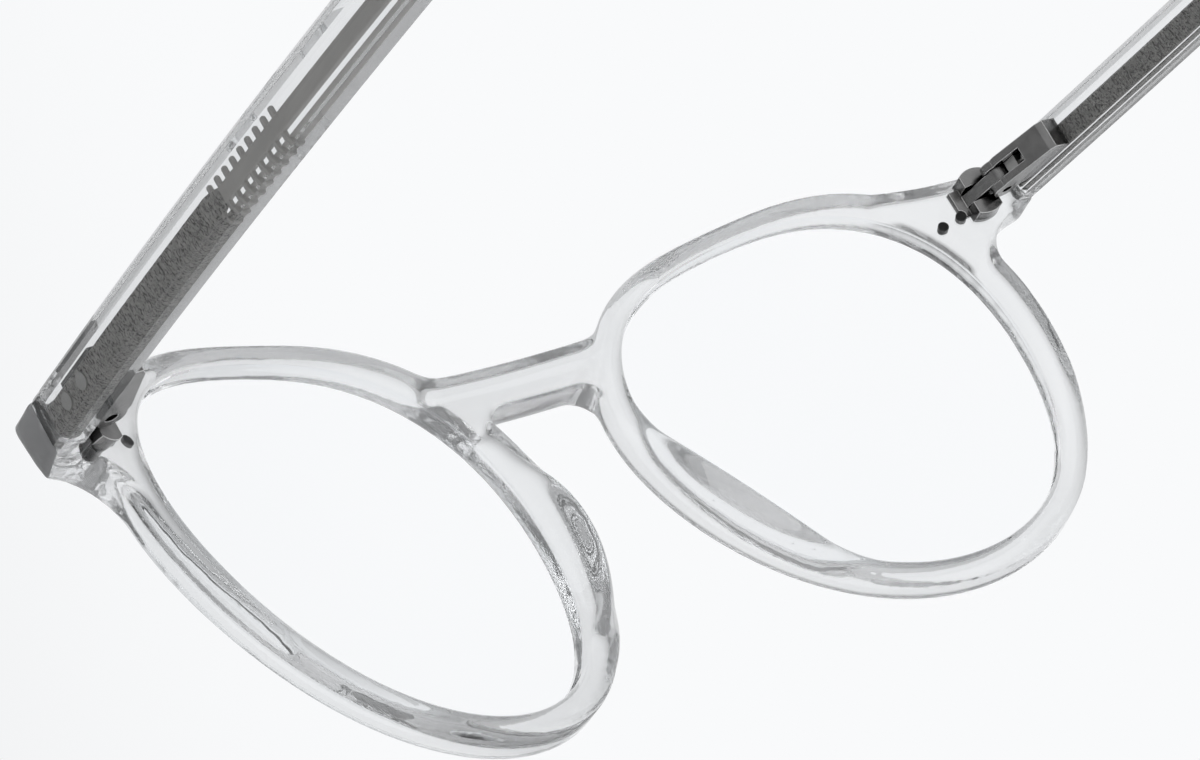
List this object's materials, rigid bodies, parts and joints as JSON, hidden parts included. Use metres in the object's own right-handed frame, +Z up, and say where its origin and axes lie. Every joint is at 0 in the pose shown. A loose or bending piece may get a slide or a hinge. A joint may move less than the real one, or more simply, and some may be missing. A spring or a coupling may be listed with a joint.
{
  "type": "eyeglasses",
  "caption": "Round clear acetate eyeglasses with wire-core temples folding on riveted spring hinges, clear lenses and built-up nose pads.",
  "frame": {"origin": "on the table below the middle of the glasses' box, as they stand open on their rims and temple tips", "axes": "+Z up, the lenses face -Y, the temples run towards +Y, +X is the wearer's left"},
  "size_m": [0.1348, 0.1511, 0.0513],
  "materials": {
    "acetate": "polished clear",
    "lens": "optically clear, coated",
    "gunmetal": "satin gunmetal plating",
    "core": "hammered, then satin",
    "rivet": "polished heads",
    "spring_wire": "drawn wire"
  },
  "bodies": {
    "front": {"front_frame": "acetate", "lens_left": "lens", "lens_right": "lens", "nose_pad_left": "acetate", "nose_pad_right": "acetate", "front_leaf_left": "gunmetal", "front_leaf_right": "gunmetal", "front_rivets_left": "rivet", "front_rivets_right": "rivet"},
    "temple_body_left": {"temple_left": "acetate", "temple_core_left": "core", "hinge_housing_left": "gunmetal", "hinge_screw_left": "rivet", "spring_left": "spring_wire", "temple_rivets_left": "rivet"},
    "temple_body_right": {"temple_right": "acetate", "temple_core_right": "core", "hinge_housing_right": "gunmetal", "hinge_screw_right": "rivet", "spring_right": "spring_wire", "temple_rivets_right": "rivet"},
    "plunger_body_left": {"plunger_left": "core", "guide_pin_left": "core"},
    "plunger_body_right": {"plunger_right": "core", "guide_pin_right": "core"}
  },
  "joints": [
    {"name": "fold_left", "type": "hinge", "parent": "front", "child": "temple_body_left", "pos_m": [0.06068, -0.05475, 0.04051], "axis": [0.0126, 0.1338, 0.9909], "range_deg": [0, 90.5]},
    {"name": "fold_right", "type": "hinge", "parent": "front", "child": "temple_body_right", "pos_m": [-0.06068, -0.05475, 0.04051], "axis": [0.0126, -0.1338, -0.9909], "range_deg": [0, 74]},
    {"name": "plunge_left", "type": "slide", "parent": "temple_body_left", "child": "plunger_body_left", "axis": [0.0508, 0.9896, -0.1343], "range_m": [0, 0.0008], "stiffness_N_per_m": 3000, "deforming": ["spring_left"]},
    {"name": "plunge_right", "type": "slide", "parent": "temple_body_right", "child": "plunger_body_right", "axis": [-0.0508, 0.9896, -0.1343], "range_m": [0, 0.0008], "stiffness_N_per_m": 3000, "deforming": ["spring_right"]}
  ]
}
